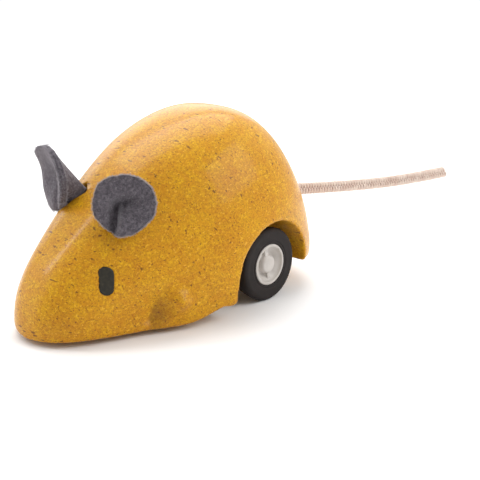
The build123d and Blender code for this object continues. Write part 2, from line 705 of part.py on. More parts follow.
lug_head_radius, lug_head_height = 2.0, 1.2
with BuildPart() as motor_mounting_screws:
    for x, y, z in lug_screw_places:
        with BuildSketch(Plane.XY.offset(z - lug_head_height)):
            with Locations((x, y)):
                Circle(lug_head_radius)
        extrude(amount=lug_head_height)
        with BuildSketch(Plane.XY.offset(z)):
            with Locations((x, y)):
                Circle(LUG_SCREW_RADIUS)
        extrude(amount=LUG_THICKNESS + LUG_SCREW_DEPTH)
        head_plane = Plane(origin=(x, y, z - lug_head_height), z_dir=(0, 0, -1))
        extrude(driver_cross(2.2, head_plane), amount=0.7, dir=(0, 0, 1), mode=Mode.SUBTRACT)
save(motor_mounting_screws, "motor_mounting_screws")

bracket_head_radius, bracket_head_height = 1.9, 1.2
bracket_seat_z = BRACKET_LOW_Z + 1.4
with BuildPart() as front_bracket_screws:
    for x, y in bracket_screw_places:
        with BuildSketch(Plane.XY.offset(bracket_seat_z - bracket_head_height)):
            with Locations((x, y)):
                Circle(bracket_head_radius)
        extrude(amount=bracket_head_height)
        with BuildSketch(Plane.XY.offset(bracket_seat_z)):
            with Locations((x, y)):
                Circle(BRACKET_SCREW_RADIUS)
        extrude(amount=BRACKET_SCREW_TOP_Z - bracket_seat_z)
        head_plane = Plane(origin=(x, y, bracket_seat_z - bracket_head_height), z_dir=(0, 0, -1))
        extrude(driver_cross(2.0, head_plane), amount=0.6, dir=(0, 0, 1), mode=Mode.SUBTRACT)
save(front_bracket_screws, "front_bracket_screws")

# ---------------------------------------------------------------- front axle and its bracket
cheek_inner_y = BRACKET_HALF_WIDTH - 0.3 - CHEEK_WIDTH
with BuildPart() as front_axle_bracket:
    with BuildSketch(Plane.XY.offset(BRACKET_LOW_Z)):
        with Locations((FRONT_WHEEL_X, 0)):
            RectangleRounded(BRACKET_LENGTH, 2 * BRACKET_HALF_WIDTH, 1.0)
        for side in SIDES.values():
            slot_middle = side * (roller_slot_inner_y + roller_slot_outer_y) / 2
            with Locations((FRONT_WHEEL_X, slot_middle)):
                Rectangle(
                    roller_slot_length, roller_slot_outer_y - roller_slot_inner_y, mode=Mode.SUBTRACT
                )
    extrude(amount=BRACKET_THICKNESS)
    for side in SIDES.values():
        with BuildSketch(side_plane(side * cheek_inner_y)):
            with Locations((FRONT_WHEEL_X, (BRACKET_LOW_Z + CHEEK_TOP_Z) / 2)):
                RectangleRounded(CHEEK_LENGTH, CHEEK_TOP_Z - BRACKET_LOW_Z, 1.2)
        extrude(amount=CHEEK_WIDTH, dir=(0, side, 0))
    with BuildSketch(side_plane(BRACKET_HALF_WIDTH)):
        with Locations((FRONT_WHEEL_X, FRONT_WHEEL_RADIUS)):
            Circle(FRONT_AXLE_RADIUS + RUNNING_CLEARANCE)
    extrude(amount=2 * BRACKET_HALF_WIDTH, mode=Mode.SUBTRACT)
    with BuildSketch(Plane.XY.offset(BRACKET_LOW_Z)):
        with Locations(*bracket_screw_places):
            Circle(bracket_head_radius + 0.1)
    extrude(amount=bracket_seat_z - BRACKET_LOW_Z, mode=Mode.SUBTRACT)
    with BuildSketch(Plane.XY.offset(BRACKET_LOW_Z)):
        with Locations(*bracket_screw_places):
            Circle(BRACKET_SCREW_RADIUS)
    extrude(amount=BRACKET_THICKNESS, mode=Mode.SUBTRACT)
save(front_axle_bracket, "front_axle_bracket")

with BuildPart() as front_axle:
    with BuildSketch(side_plane(FRONT_AXLE_END_Y)):
        with Locations((FRONT_WHEEL_X, FRONT_WHEEL_RADIUS)):
            Circle(FRONT_AXLE_RADIUS)
    extrude(amount=2 * FRONT_AXLE_END_Y)
save(front_axle, "front_axle")

for name, side in SIDES.items():
    with BuildPart() as front_wheel:
        with BuildSketch(side_plane(side * (FRONT_WHEEL_Y - FRONT_WHEEL_WIDTH / 2))):
            with Locations((FRONT_WHEEL_X, FRONT_WHEEL_RADIUS)):
                Circle(FRONT_WHEEL_RADIUS)
        extrude(amount=FRONT_WHEEL_WIDTH, dir=(0, side, 0))
        fillet(front_wheel.edges().filter_by(GeomType.CIRCLE), 0.5)
        with BuildSketch(side_plane(side * (FRONT_WHEEL_Y - FRONT_WHEEL_WIDTH / 2 - 0.1))):
            with Locations((FRONT_WHEEL_X, FRONT_WHEEL_RADIUS)):
                Circle(FRONT_AXLE_RADIUS)
        extrude(amount=FRONT_WHEEL_WIDTH + 0.2, dir=(0, side, 0), mode=Mode.SUBTRACT)
    save(front_wheel, f"{name}_front_wheel")
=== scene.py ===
import json
import math

import bmesh
import bpy
import numpy as np
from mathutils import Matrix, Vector


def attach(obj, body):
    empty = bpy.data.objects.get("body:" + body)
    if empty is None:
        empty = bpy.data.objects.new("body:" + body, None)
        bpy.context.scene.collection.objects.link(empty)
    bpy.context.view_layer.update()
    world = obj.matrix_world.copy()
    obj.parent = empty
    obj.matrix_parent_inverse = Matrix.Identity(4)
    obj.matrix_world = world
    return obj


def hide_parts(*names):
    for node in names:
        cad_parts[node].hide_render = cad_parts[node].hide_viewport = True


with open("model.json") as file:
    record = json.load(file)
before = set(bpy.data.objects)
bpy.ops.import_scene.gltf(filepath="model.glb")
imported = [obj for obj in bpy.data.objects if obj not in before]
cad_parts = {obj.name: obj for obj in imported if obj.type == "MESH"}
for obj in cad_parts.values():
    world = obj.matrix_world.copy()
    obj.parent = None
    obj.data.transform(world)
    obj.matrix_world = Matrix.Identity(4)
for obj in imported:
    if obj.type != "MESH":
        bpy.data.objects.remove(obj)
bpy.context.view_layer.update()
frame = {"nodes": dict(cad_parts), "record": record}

MM = 0.001
NODES = frame["nodes"]


# ------------------------------------------------------------------ small helpers
def mesh_piece(name, points, faces, smooth=True):
    """A new mesh object from points in metres."""
    mesh = bpy.data.meshes.new(name)
    mesh.from_pydata([tuple(p) for p in points], [], faces)
    mesh.validate()
    if smooth:
        mesh.shade_smooth()
    piece = bpy.data.objects.new(name, mesh)
    bpy.context.scene.collection.objects.link(piece)
    return piece


def apply_modifiers(piece):
    """Replaces the piece's mesh with what its modifiers make of it."""
    depsgraph = bpy.context.evaluated_depsgraph_get()
    made = bpy.data.meshes.new_from_object(piece.evaluated_get(depsgraph))
    piece.modifiers.clear()
    piece.data = made


def welded_copy(node, name):
    """A new object with a CAD node's mesh, its split corners joined."""
    mesh = NODES[node].data.copy()
    piece = bpy.data.objects.new(name, mesh)
    bpy.context.scene.collection.objects.link(piece)
    weld = bmesh.new()
    weld.from_mesh(mesh)
    bmesh.ops.remove_doubles(weld, verts=weld.verts, dist=1e-6)
    weld.to_mesh(mesh)
    weld.free()
    return piece


def show(piece, body, material, slot, *replaced):
    """Rides the piece on its body, gives it its material, and hides the CAD nodes it stands for."""
    piece.data.materials.clear()
    piece.data.materials.append(material)
    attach(piece, body)
    if replaced:
        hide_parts(*replaced)


def unit(vector):
    return vector / np.linalg.norm(vector)


def smooth_step(low, high, value):
    """0 at low, 1 at high, with an even S-curve between them."""
    t = np.clip((value - low) / (high - low), 0, 1)
    return t * t * (3 - 2 * t)


def bell(value, middle, width):
    """1 at the middle, falling off evenly on both sides."""
    return np.exp(-(((value - middle) / width) ** 2))


def box_points(low, high):
    """The corners and faces of a box."""
    points = [(x, y, z) for x in (low[0], high[0]) for y in (low[1], high[1]) for z in (low[2], high[2])]
    faces = [(0, 1, 3, 2), (4, 6, 7, 5), (0, 4, 5, 1), (2, 3, 7, 6), (0, 2, 6, 4), (1, 5, 7, 3)]
    return np.array(points), faces


def join_shells(shells):
    """One list of points and one of faces from many."""
    points, faces, count = [], [], 0
    for shell_points, shell_faces in shells:
        points.append(shell_points)
        faces.extend(tuple(index + count for index in face) for face in shell_faces)
        count += len(shell_points)
    return np.concatenate(points), faces


def vertex_places(mesh):
    """A mesh's vertices in millimetres."""
    places = np.empty(len(mesh.vertices) * 3)
    mesh.vertices.foreach_get("co", places)
    return places.reshape(-1, 3) / MM


def merge_in(piece, points, faces):
    """Adds closed shells, in millimetres, to the piece's mesh; a later remesh joins them to it."""
    extra = bpy.data.meshes.new("extra")
    extra.from_pydata([tuple(p) for p in points * MM], [], faces)
    whole = bmesh.new()
    whole.from_mesh(piece.data)
    whole.from_mesh(extra)
    bmesh.ops.recalc_face_normals(whole, faces=whole.faces)
    whole.to_mesh(piece.data)
    whole.free()
    bpy.data.meshes.remove(extra)


def soften(piece, voxel, passes, swell=0.0):
    """Evens out a closed mesh and rounds its edges slightly, as moulding or lacquer leaves them."""
    remesh = piece.modifiers.new("even", "REMESH")
    remesh.mode = "VOXEL"
    remesh.voxel_size = voxel * MM
    smooth = piece.modifiers.new("smooth", "SMOOTH")
    smooth.iterations = passes
    if swell:
        grow = piece.modifiers.new("grow", "DISPLACE")
        grow.mid_level = 0.0
        grow.strength = swell * MM
    apply_modifiers(piece)
    piece.data.shade_smooth()
    return piece


# ------------------------------------------------------------------ camera
CAMERA_PLACE = Vector((157.2, 170.4, 84.8)) * MM
CAMERA_AIM = Vector((-29.0, 0.0, 8.7)) * MM
LENS = 69.8  # millimetres, on a 36 mm sensor


def add_camera():
    camera = bpy.data.cameras.new("camera")
    camera.lens = LENS
    camera.clip_start = 0.01
    holder = bpy.data.objects.new("camera", camera)
    holder.location = CAMERA_PLACE
    holder.rotation_euler = (CAMERA_AIM - CAMERA_PLACE).to_track_quat("-Z", "Y").to_euler()
    bpy.context.scene.collection.objects.link(holder)
    bpy.context.scene.camera = holder


add_camera()


# ------------------------------------------------------------------ materials
class Shader:
    """Builds one material's nodes with short calls."""

    def __init__(self, name):
        self.material = bpy.data.materials.new(name)
        self.material.use_nodes = True
        self.tree = self.material.node_tree
        self.bsdf = self.tree.nodes["Principled BSDF"]
        self.coords = self.tree.nodes.new("ShaderNodeTexCoord").outputs["Object"]

    def node(self, kind, **settings):
        made = self.tree.nodes.new(kind)
        for key, value in settings.items():
            setattr(made, key, value)
        return made

    def link(self, source, target):
        self.tree.links.new(source, target)

    def set(self, **values):
        """Constants on the shader's own sockets; words are joined by underscores."""
        for key, value in values.items():
            self.bsdf.inputs[key.replace("_", " ")].default_value = value

    def mapping(self, scale=(1, 1, 1), rotation=(0, 0, 0), source=None):
        made = self.node("ShaderNodeMapping")
        made.inputs["Scale"].default_value = scale
        made.inputs["Rotation"].default_value = rotation
        self.link(source or self.coords, made.inputs["Vector"])
        return made.outputs["Vector"]

    def noise(self, scale, detail=3.0, roughness=0.5, distortion=0.0, vector=None):
        made = self.node("ShaderNodeTexNoise")
        made.inputs["Scale"].default_value = scale
        made.inputs["Detail"].default_value = detail
        made.inputs["Roughness"].default_value = roughness
        made.inputs["Distortion"].default_value = distortion
        self.link(vector or self.coords, made.inputs["Vector"])
        return made.outputs["Fac"]

    def voronoi(self, scale):
        made = self.node("ShaderNodeTexVoronoi")
        made.inputs["Scale"].default_value = scale
        self.link(self.coords, made.inputs["Vector"])
        return made.outputs["Distance"]

    def ramp(self, source, *stops):
        """stops are (place, value), where a value is a grey or an (r, g, b)."""
        made = self.node("ShaderNodeValToRGB")
        elements = made.color_ramp.elements
        while len(elements) < len(stops):
            elements.new(0.5)
        for element, (place, value) in zip(elements, stops):
            element.position = place
            colour = (value, value, value) if isinstance(value, (int, float)) else value
            element.color = (*colour, 1)
        self.link(source, made.inputs["Fac"])
        return made.outputs["Color"]

    def mix(self, share, first, second, blend="MIX"):
        made = self.node("ShaderNodeMix", data_type="RGBA", blend_type=blend)
        for source, index in ((share, 0), (first, 6), (second, 7)):
            if isinstance(source, bpy.types.NodeSocket):
                self.link(source, made.inputs[index])
            elif index == 0:
                made.inputs[index].default_value = source
            else:
                made.inputs[index].default_value = (*source, 1)
        return made.outputs[2]

    def math(self, operation, first, second=0.0):
        made = self.node("ShaderNodeMath", operation=operation)
        for source, index in ((first, 0), (second, 1)):
            if isinstance(source, bpy.types.NodeSocket):
                self.link(source, made.inputs[index])
            else:
                made.inputs[index].default_value = source
        return made.outputs[0]

    def vector_math(self, operation, first, second=None, output="Vector"):
        made = self.node("ShaderNodeVectorMath", operation=operation)
        self.link(first, made.inputs[0])
        if second is not None:
            made.inputs[1].default_value = second
        return made.outputs[output]

    def colour(self, source):
        self.link(source, self.bsdf.inputs["Base Color"])

    def roughness(self, source, low, high):
        made = self.node("ShaderNodeMapRange")
        made.inputs["To Min"].default_value = low
        made.inputs["To Max"].default_value = high
        self.link(source, made.inputs["Value"])
        self.link(made.outputs["Result"], self.bsdf.inputs["Roughness"])

    def bump(self, *layers):
        """layers are (height, strength, distance in metres), laid on each other."""
        normal = None
        for height, strength, distance in layers:
            made = self.node("ShaderNodeBump")
            made.inputs["Strength"].default_value = strength
            made.inputs["Distance"].default_value = distance
            self.link(height, made.inputs["Height"])
            if normal is not None:
                self.link(normal, made.inputs["Normal"])
            normal = made.outputs["Normal"]
        self.link(normal, self.bsdf.inputs["Normal"])


PAW_SHADE_MIDDLE = (20.7, 19.0, 5.0)  # middle of the painted shade in a front paw's crease, in millimetres
PAW_SHADE_LEAN = math.radians(21.6)  # of the crease from upright, once the patch is scaled to a ball


def painted_paw_shade(s):
    """A mask for the shade painted into the crease of each front paw: sharp in front, fading behind."""
    middle = [value * MM for value in PAW_SHADE_MIDDLE]
    from_middle = s.vector_math("SUBTRACT", s.vector_math("ABSOLUTE", s.coords), middle)
    ball = s.mapping((230, 130, 180), (0, PAW_SHADE_LEAN, 0), from_middle)
    parts = s.node("ShaderNodeSeparateXYZ")
    s.link(ball, parts.inputs[0])
    patch = s.ramp(s.vector_math("LENGTH", ball, output="Value"), (0.25, 1.0), (1.0, 0.0))
    sharp = s.ramp(s.math("ADD", parts.outputs["X"], 0.5), (0.50, 1.0), (0.64, 0.0))
    grain = s.ramp(s.noise(900, 3, 0.6), (0.30, 0.28), (0.62, 0.66))
    return s.math("MULTIPLY", s.math("MULTIPLY", patch, sharp), grain)


def strokes(s, scale, stretch, turns, cuts, width, detail=1.0, distortion=0.2):
    """A mask of short strokes lying in several directions, one layer of stretched noise for each turn."""
    lines = None
    for turn, cut in zip(turns, cuts):
        vector = s.mapping((1.0, stretch, 1.0), turn)
        line = s.ramp(s.noise(scale, detail, 0.5, distortion, vector), (cut, 0.0), (cut + width, 1.0))
        lines = line if lines is None else s.mix(1.0, lines, line, "LIGHTEN")
    return lines


def composite_wood():
    """Compressed wood dust, dyed ochre right through: fine orange and yellow dust with short dark fibres."""
    s = Shader("composite_wood")
    cloud = s.ramp(s.noise(110, 3, 0.5), (0.32, (0.50, 0.226, 0.008)), (0.68, (0.64, 0.346, 0.008)))
    dust = s.ramp(
        s.noise(1850, 3, 0.6, 0.3),
        (0.36, (0.32, 0.100, 0.010)),
        (0.50, (0.57, 0.262, 0.008)),
        (0.64, (0.82, 0.470, 0.014)),
    )
    colour = s.mix(0.46, cloud, dust)
    mottle = s.ramp(s.noise(430, 4, 0.6, 0.5, s.mapping((1.0, 0.7, 1.3))), (0.40, 0.0), (0.64, 0.55))
    colour = s.mix(mottle, colour, (0.52, 0.200, 0.008))
    fleck_turns = ((0.3, 0.2, 0.5), (1.2, 0.9, 2.1), (2.3, 1.7, 0.8), (0.9, 2.6, 1.4))
    flecks = strokes(s, 2900, 0.42, fleck_turns, (0.655, 0.655, 0.66, 0.66), 0.07)
    colour = s.mix(s.math("MULTIPLY", flecks, 0.62), colour, (0.21, 0.058, 0.009))
    fibre_turns = ((0.8, 0.1, 1.0), (2.0, 1.2, 0.2), (1.5, 2.4, 2.6))
    fibres = strokes(s, 1300, 0.26, fibre_turns, (0.745, 0.745, 0.745), 0.025, 0.5, 0.1)
    colour = s.mix(s.math("MULTIPLY", fibres, 0.75), colour, (0.10, 0.032, 0.010))
    chips = s.noise(2300, 1.0, 0.5, 0.2, s.mapping((0.4, 1.0, 1.0), (0.5, 0.4, 1.9)))
    pale = s.ramp(chips, (0.64, 0.0), (0.71, 1.0))
    colour = s.mix(s.math("MULTIPLY", pale, 0.45), colour, (0.88, 0.52, 0.045))
    # painted shade: each front paw's crease is darkened in the wood's colour
    s.colour(s.mix(painted_paw_shade(s), colour, (0.21, 0.085, 0.012)))
    s.roughness(s.noise(500, 4), 0.40, 0.54)
    s.bump((flecks, 0.08, 0.00008), (s.noise(1400, 4), 0.10, 0.00010))
    s.set(Coat_Weight=0.58, Coat_IOR=1.22, Coat_Roughness=0.15, Specular_IOR_Level=0.12)
    return s.material


def plain_plastic(name, dark, light, rough_low, rough_high, coat=0.0):
    """Moulded plastic: a slight mottle, fine moulding texture and uneven gloss."""
    s = Shader(name)
    s.colour(s.ramp(s.noise(260, 4), (0.3, dark), (0.7, light)))
    s.roughness(s.noise(420, 4), rough_low, rough_high)
    s.bump((s.noise(1400, 3), 0.08, 0.00010), (s.voronoi(2380), 0.05, 0.00005))
    s.set(Coat_Weight=coat, Coat_Roughness=0.25)
    return s.material


def metal(name, dark, light, rough_low, rough_high):
    """Drawn or plated steel: fine lines along Y and a faint stain."""
    s = Shader(name)
    lines = s.noise(2600, 3, 0.6, 0.0, s.mapping((1.0, 0.05, 1.0)))
    s.colour(s.mix(s.noise(500, 4), dark, light))
    s.roughness(lines, rough_low, rough_high)
    s.bump((lines, 0.08, 0.00004), (s.noise(700, 4), 0.05, 0.00005))
    s.set(Metallic=1.0)
    return s.material


def felt():
    """Grey wool felt: matted fibres, paler where they stand up."""
    s = Shader("felt")
    mat = s.noise(1500, 6, 0.72, 0.6)
    strands = s.noise(3200, 2, 0.5, 1.2, s.mapping((1.0, 0.3, 0.7), (0.4, 0.8, 0.3)))
    wool = s.ramp(
        mat,
        (0.27, (0.040, 0.034, 0.041)),
        (0.5, (0.096, 0.084, 0.097)),
        (0.74, (0.235, 0.210, 0.235)),
    )
    s.colour(s.mix(s.ramp(strands, (0.60, 0.0), (0.70, 0.55)), wool, (0.24, 0.22, 0.24)))
    s.roughness(mat, 0.85, 1.0)
    s.bump((mat, 0.75, 0.00034), (strands, 0.45, 0.00018))
    s.set(Sheen_Weight=0.55, Sheen_Roughness=0.45, Sheen_Tint=(0.75, 0.72, 0.76, 1), Specular_IOR_Level=0.15)
    return s.material


def felt_fibre():
    """Single wool hairs standing off the felt."""
    s = Shader("felt_fuzz")
    s.colour(s.ramp(s.noise(900, 3), (0.3, (0.20, 0.185, 0.21)), (0.7, (0.40, 0.375, 0.41))))
    s.roughness(s.noise(500, 2), 0.8, 0.95)
    s.bump((s.noise(4000, 2), 0.2, 0.00003))
    s.set(Sheen_Weight=0.4, Specular_IOR_Level=0.2)
    return s.material


def cotton(name, dark, middle, light):
    """Cotton yarn: fine twisted fibres, pinker in some stretches."""
    s = Shader(name)
    yarn = s.noise(2600, 4, 0.6, 0.4)
    plain = s.ramp(yarn, (0.25, dark), (0.55, middle), (0.8, light))
    s.colour(s.mix(s.ramp(s.noise(320, 3), (0.40, 0.0), (0.62, 0.35)), plain, (0.55, 0.36, 0.29)))
    s.roughness(yarn, 0.8, 1.0)
    s.bump((yarn, 0.4, 0.00012), (s.noise(6000, 3), 0.2, 0.00005))
    s.set(Sheen_Weight=0.25, Sheen_Roughness=0.5, Specular_IOR_Level=0.2)
    return s.material


def rubber():
    """Black rubber tyre: dusty, with scuffed patches and a fine skin."""
    s = Shader("tyre_rubber")
    dust = s.noise(420, 6, 0.65)
    s.colour(
        s.ramp(
            dust,
            (0.3, (0.011, 0.008, 0.007)),
            (0.62, (0.020, 0.015, 0.014)),
            (0.8, (0.038, 0.031, 0.028)),
        )
    )
    s.roughness(dust, 0.62, 0.85)
    s.bump((s.noise(2600, 4), 0.25, 0.00008), (s.noise(160, 3), 0.12, 0.00020))
    s.set(Specular_IOR_Level=0.25)
    return s.material


def eye_lacquer():
    """A dark brown-green lacquer over the wood's texture."""
    s = Shader("eye_paint")
    specks = s.noise(1500, 4, 0.6)
    s.colour(
        s.ramp(
            specks,
            (0.35, (0.010, 0.008, 0.004)),
            (0.65, (0.022, 0.018, 0.009)),
            (0.8, (0.060, 0.044, 0.020)),
        )
    )
    s.roughness(s.noise(600, 3), 0.35, 0.55)
    s.bump((specks, 0.12, 0.00010), (s.noise(300, 3), 0.1, 0.0001))
    s.set(Specular_IOR_Level=0.3)
    return s.material


BRAID_COLOURS = (0.56, 0.435, 0.365), (0.76, 0.64, 0.555), (0.86, 0.77, 0.68)
# the core's darker colour is painted shade, seen in the gaps between the stitches
SHADED_CORE_COLOURS = (0.24, 0.150, 0.120), (0.31, 0.205, 0.165), (0.38, 0.265, 0.215)
WHITE = (0.45, 0.415, 0.38), (0.54, 0.50, 0.465)
BRACKET_GREY = (0.022, 0.022, 0.024), (0.045, 0.045, 0.048)
MATERIALS = {
    "composite_wood": composite_wood(),
    "eye_paint": eye_lacquer(),
    "felt": felt(),
    "felt_fuzz": felt_fibre(),
    "cotton_braid": cotton("cotton_braid", *BRAID_COLOURS),
    "cotton_core": cotton("cotton_core", *SHADED_CORE_COLOURS),
    "tyre_rubber": rubber(),
    "white_plastic": plain_plastic("white_plastic", *WHITE, 0.32, 0.47, coat=0.10),
    "case_plastic": plain_plastic("case_plastic", (0.020, 0.020, 0.022), (0.040, 0.040, 0.043), 0.42, 0.60),
    "gear_plastic": plain_plastic("gear_plastic", (0.62, 0.58, 0.48), (0.74, 0.70, 0.60), 0.35, 0.50),
    "bracket_plastic": plain_plastic("bracket_plastic", *BRACKET_GREY, 0.45, 0.62),
    "axle_steel": metal("axle_steel", (0.42, 0.42, 0.43), (0.60, 0.60, 0.61), 0.18, 0.38),
    "spring_steel": metal("spring_steel", (0.12, 0.14, 0.20), (0.26, 0.28, 0.33), 0.20, 0.42),
    "screw_steel": metal("screw_steel", (0.45, 0.45, 0.44), (0.66, 0.66, 0.65), 0.22, 0.40),
}


def finish_cad_nodes():
    """Gives every CAD node its slot's material."""
    for row in frame["record"]["subparts"]:
        node = NODES[row["node"]]
        node.data.materials.clear()
        node.data.materials.append(MATERIALS[row["material_slot"]])


finish_cad_nodes()

# ------------------------------------------------------------------ the tail's cord
# The route is the part's own: out of the rump, sinking, and easing over to the left.
# From here on sizes and places are in millimetres, as in the part, unless a comment says otherwise.
TAIL_ROUTE = [
    (-33.5, 0.0, 21.9),
    (-46.0, 0.0, 20.3),
    (-61.0, 0.6, 18.2),
    (-78.0, 1.6, 16.1),
    (-95.5, 3.0, 14.3),
    (-112.5, 4.5, 13.3),
    (-128.7, 6.0, 12.9),
]
TAIL_DIAMETER = 4.2
TAIL_RADIUS_AT_ENDS = (1.95, 2.2)  # the plait is drawn tight at the rump and loosens towards its end
PLAIT_COLUMNS = 4
PLAIT_TURN = math.radians(60)  # puts the line between two columns of stitches on the left side
STITCH_REACH = math.radians(52)  # half of how far a stitch reaches round the cord
STITCH_PITCH, STITCH_WIDTH, STITCH_THICKNESS = 1.26, 0.89, 0.95
STITCH_SLANT = 0.22  # how far along the cord a stitch's end lies from its middle
STITCH_DIVE = 0.42  # how far a stitch's ends sink under its neighbours
CORE_DEPTH = 0.78  # how far the core's surface lies under the cord's


def route_line(route, steps):
    """Points along the route's quadratic curve, in millimetres, evenly spaced by length."""
    curve = bpy.data.curves.new("route", "CURVE")
    curve.dimensions = "3D"
    spline = curve.splines.new("NURBS")
    spline.points.add(len(route) - 1)
    for point, place in zip(spline.points, route):
        point.co = (*place, 1)
    spline.order_u = 3
    spline.use_endpoint_u = True
    spline.resolution_u = 40
    holder = bpy.data.objects.new("route", curve)
    bpy.context.scene.collection.objects.link(holder)
    line = bpy.data.meshes.new_from_object(holder)
    dense = np.array([vertex.co for vertex in line.vertices])
    bpy.data.objects.remove(holder)
    run = np.concatenate([[0.0], np.cumsum(np.linalg.norm(np.diff(dense, axis=0), axis=1))])
    even = np.linspace(0, run[-1], steps)
    return np.stack([np.interp(even, run, dense[:, axis]) for axis in range(3)], axis=1), even


def frames_along(line):
    """A tangent and two side directions at each point. They don't twist, as the route hardly turns."""
    tangent = np.gradient(line, axis=0)
    tangent /= np.linalg.norm(tangent, axis=1)[:, None]
    side = np.cross(tangent, (0.0, 0.0, 1.0))
    side /= np.linalg.norm(side, axis=1)[:, None]
    return tangent, side, np.cross(side, tangent)


def tube_along(line, radial, across, half_thickness, half_width, sides=8):
    """Points and faces of a closed oval tube round a line, from its two section directions."""
    angles = np.linspace(0, 2 * math.pi, sides, endpoint=False)
    rings = (
        line[:, None, :]
        + radial[:, None, :] * (half_thickness * np.cos(angles))[None, :, None]
        + across[:, None, :] * (half_width * np.sin(angles))[None, :, None]
    )
    points = rings.reshape(-1, 3)
    faces = []
    for ring in range(len(line) - 1):
        for k in range(sides):
            a, b = ring * sides + k, ring * sides + (k + 1) % sides
            faces.append((a, b, b + sides, a + sides))
    faces.append(tuple(range(sides))[::-1])
    faces.append(tuple(range(len(points) - sides, len(points))))
    return points, faces


def fibre(start, heading, length, width, rng, droop=0.0):
    """A single thin curved hair."""
    steps = np.linspace(0, 1, 4)
    bend = rng.normal(size=3) * 0.35 * length - np.array((0, 0, droop * length))
    line = start + heading * (length * steps)[:, None] + bend * (steps**2)[:, None]
    along = line[-1] - line[0]
    radial = np.cross(along, (0.31, 0.52, 0.79))
    radial /= np.linalg.norm(radial)
    across = np.cross(along / np.linalg.norm(along), radial)
    return tube_along(line, radial[None].repeat(4, 0), across[None].repeat(4, 0), width / 2, width / 2, 3)


def stitches(line, run, side, rise, outer_radius, rng):
    """Short plump lengths of yarn in columns along the cord, each column slanting against the next."""
    shells = []
    reach = np.linspace(-1, 1, 9)
    taper = np.sqrt(1.02 - reach**2 * 0.86)[:, None]
    for column in range(PLAIT_COLUMNS):
        way = 1 if column % 2 else -1
        middle = PLAIT_TURN + 2 * math.pi * column / PLAIT_COLUMNS
        for place in np.arange(0.3 + 0.25 * way * STITCH_PITCH, run[-1] - 0.2, STITCH_PITCH):
            at = place + rng.normal() * 0.03 + way * STITCH_SLANT * reach
            spot = np.clip(np.searchsorted(run, at), 0, len(run) - 1)
            angle = middle + rng.normal() * 0.03 + reach * STITCH_REACH
            radial = side[spot] * np.cos(angle)[:, None] + rise[spot] * np.sin(angle)[:, None]
            radius = outer_radius[spot] - STITCH_THICKNESS / 2 - STITCH_DIVE * reach**2
            path = np.stack([np.interp(at, run, line[:, axis]) for axis in range(3)], axis=1)
            path += radial * radius[:, None]
            heading = np.gradient(path, axis=0)
            heading /= np.linalg.norm(heading, axis=1)[:, None]
            across = np.cross(heading, radial)
            size = taper * rng.uniform(0.94, 1.04)
            half = STITCH_THICKNESS / 2, STITCH_WIDTH / 2
            shells.append(tube_along(path, radial * size, across * size, *half))
    return shells


def tail_hairs(line, frames, outer_radius, rng):
    """The frayed end, and single fibres that stand off the plait."""
    tangent, side, rise = frames
    hairs = []
    for _ in range(120):
        angle = rng.uniform(0, 2 * math.pi)
        spoke = side[-1] * math.cos(angle) + rise[-1] * math.sin(angle)
        start = line[-4] + spoke * rng.uniform(0.1, 1.9)
        heading = tangent[-1] * 0.9 + spoke * 0.35
        hairs.append(fibre(start, heading, rng.uniform(0.25, 0.9), 0.07, rng, 0.15))
    for _ in range(420):
        spot = rng.integers(40, len(line) - 12)
        angle = rng.uniform(0, 2 * math.pi)
        spoke = side[spot] * math.cos(angle) + rise[spot] * math.sin(angle)
        heading = tangent[spot] * rng.choice((-1, 1)) * 0.8 + spoke * 0.4
        start = line[spot] + spoke * (outer_radius[spot] - 0.1)
        hairs.append(fibre(start, heading, rng.uniform(0.3, 0.7), 0.03, rng))
    return hairs


def braided_tail():
    """A plaited cotton cord on a core whose darker colour is painted shade between the stitches, with a
    blunt, slightly frayed end.
    """
    rng = np.random.default_rng(5)
    line, run = route_line(TAIL_ROUTE, 1240)
    frames = frames_along(line)
    _, side, rise = frames
    outer_radius = np.interp(run, (0, run[-1]), TAIL_RADIUS_AT_ENDS)
    shells = stitches(line, run, side, rise, outer_radius, rng)
    shells += tail_hairs(line, frames, outer_radius, rng)
    points, faces = join_shells(shells)
    tail = mesh_piece("braided_tail", points * MM, faces)
    show(tail, "mouse", MATERIALS["cotton_braid"], "cotton_braid", "tail_cord")
    # the core is coloured darker than the yarn: painted shade between the stitches
    core_radius = TAIL_DIAMETER / 2 - CORE_DEPTH
    core_points, core_faces = tube_along(line[:-8:8], side[:-8:8], rise[:-8:8], core_radius, core_radius, 16)
    core = mesh_piece("tail_shaded_core", core_points * MM, core_faces)
    show(core, "mouse", MATERIALS["cotton_core"], "cotton_braid")


braided_tail()

# ------------------------------------------------------------------ the body
ARCH_X, ARCH_Z, ARCH_RADIUS = -14.7, 6.9, 14.8
EAR_SLOT_POINT = np.array((22.8, 6.1, 30.8))  # the left slot's mouth
EAR_SLOT_RUN = np.array((0.467, 0.670, -0.576))
EAR_SLOT_OUT = np.array((0.63, 0.22, 0.745))
EAR_SLOT_DEPTH = 4.1
KNUCKLE_HEIGHT, CREASE_DEPTH = 2.7, 2.3
FOOT_DROP = 0.8
BODY_VOXEL = 0.34
EDGE_PASSES = 16  # of smoothing along the edges of the wheel arches


def paw_relief(points):
    """How far the front paws move each point of the body sideways, outward, in millimetres.

    A crease runs up the side, and behind it the paw swells steeply to a knuckle."""
    x, y, z = points.T
    outside = smooth_step(13.5, 16.0, np.abs(y))
    aside = x - (22.2 - 0.31 * z)
    reach = np.where(aside > 0, 5.2, 2.1)
    crease = np.exp(0.15 - np.hypot(aside / reach, 0.15)) * smooth_step(13.5, 6.5, z)
    crease *= 0.2 + 0.8 * smooth_step(1.4, 4.6, z)
    knuckle = bell(x, 16.2, 2.7) * bell(z, 8.0, 2.3)
    return outside * (KNUCKLE_HEIGHT * knuckle - CREASE_DEPTH * crease)


def arch_foot(points):
    """How far the bottom edge just ahead of the wheel arch is drawn down, in millimetres."""
    x, y, z = points.T
    low_outside = smooth_step(11.0, 7.0, z) * smooth_step(14.0, 17.0, np.abs(y))
    return FOOT_DROP * bell(x, 1.3, 1.7) * low_outside


